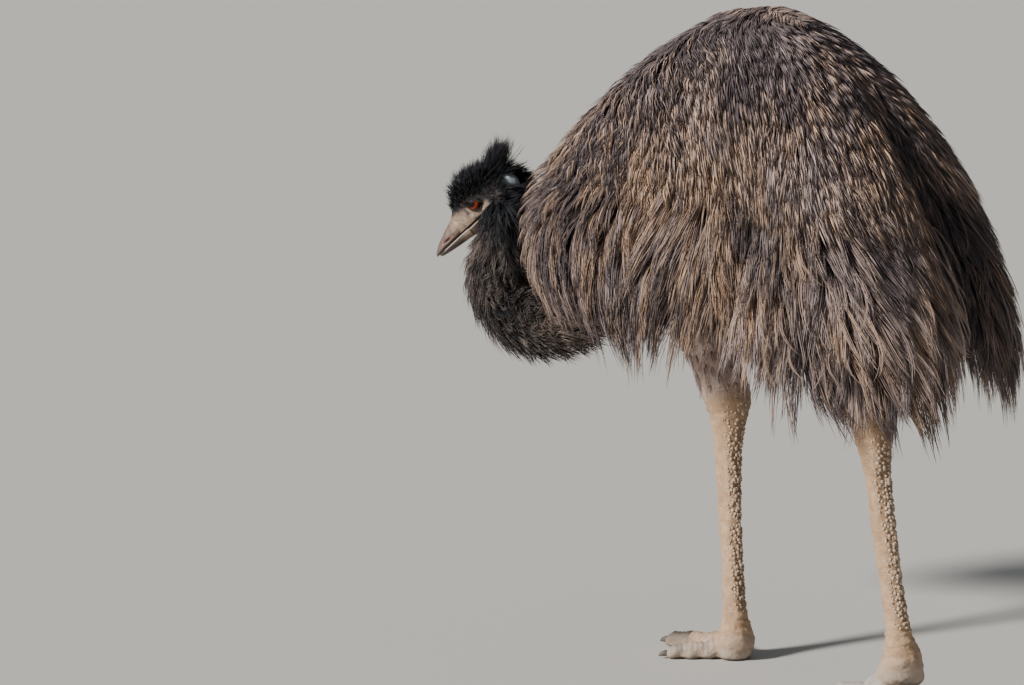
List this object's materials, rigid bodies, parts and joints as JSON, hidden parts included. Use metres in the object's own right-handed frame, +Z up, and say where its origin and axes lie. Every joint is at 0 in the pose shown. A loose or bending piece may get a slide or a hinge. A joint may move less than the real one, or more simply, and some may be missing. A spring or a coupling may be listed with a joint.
{
  "type": "standing emu model",
  "caption": "Life-size still model of a large flightless bird in mid stride, shaggy feather coat, neck curled down before the breast.",
  "frame": {"origin": "centre of the bounding box, on the floor under the standing bird", "axes": "+Z up, the bird walks towards -Y, its left side is +X"},
  "size_m": [0.5478, 1.0066, 1.0438],
  "materials": {
    "coat": "long loose grey-brown feathers with tan and dark tips",
    "neck_coat": "short shaggy blackish hair-like feathers",
    "head_coat": "fine black bristle feathers over bluish and tan bare skin",
    "bill": "satin horn, tan to grey",
    "eye": "wet glossy, orange-brown iris",
    "leg_skin": "scaly tan skin",
    "claw": "dull dark horn"
  },
  "bodies": {
    "root": {"head": "head_coat", "bill_upper": "bill", "bill_lower": "bill", "eye_left": "eye", "eye_right": "eye", "neck_lower": "neck_coat", "neck_middle": "neck_coat", "neck_upper": "neck_coat", "trunk": "coat", "tail": "coat", "wing_left": "coat", "wing_right": "coat", "thigh_left": "coat", "thigh_right": "coat", "drumstick_left": "leg_skin", "drumstick_right": "leg_skin", "shank_left": "leg_skin", "shank_right": "leg_skin", "foot_left": "leg_skin", "foot_right": "leg_skin", "toe_inner_left": "leg_skin", "toe_middle_left": "leg_skin", "toe_outer_left": "leg_skin", "toe_inner_right": "leg_skin", "toe_middle_right": "leg_skin", "toe_outer_right": "leg_skin", "claw_inner_left": "claw", "claw_middle_left": "claw", "claw_outer_left": "claw", "claw_inner_right": "claw", "claw_middle_right": "claw", "claw_outer_right": "claw"}
  },
  "joints": []
}
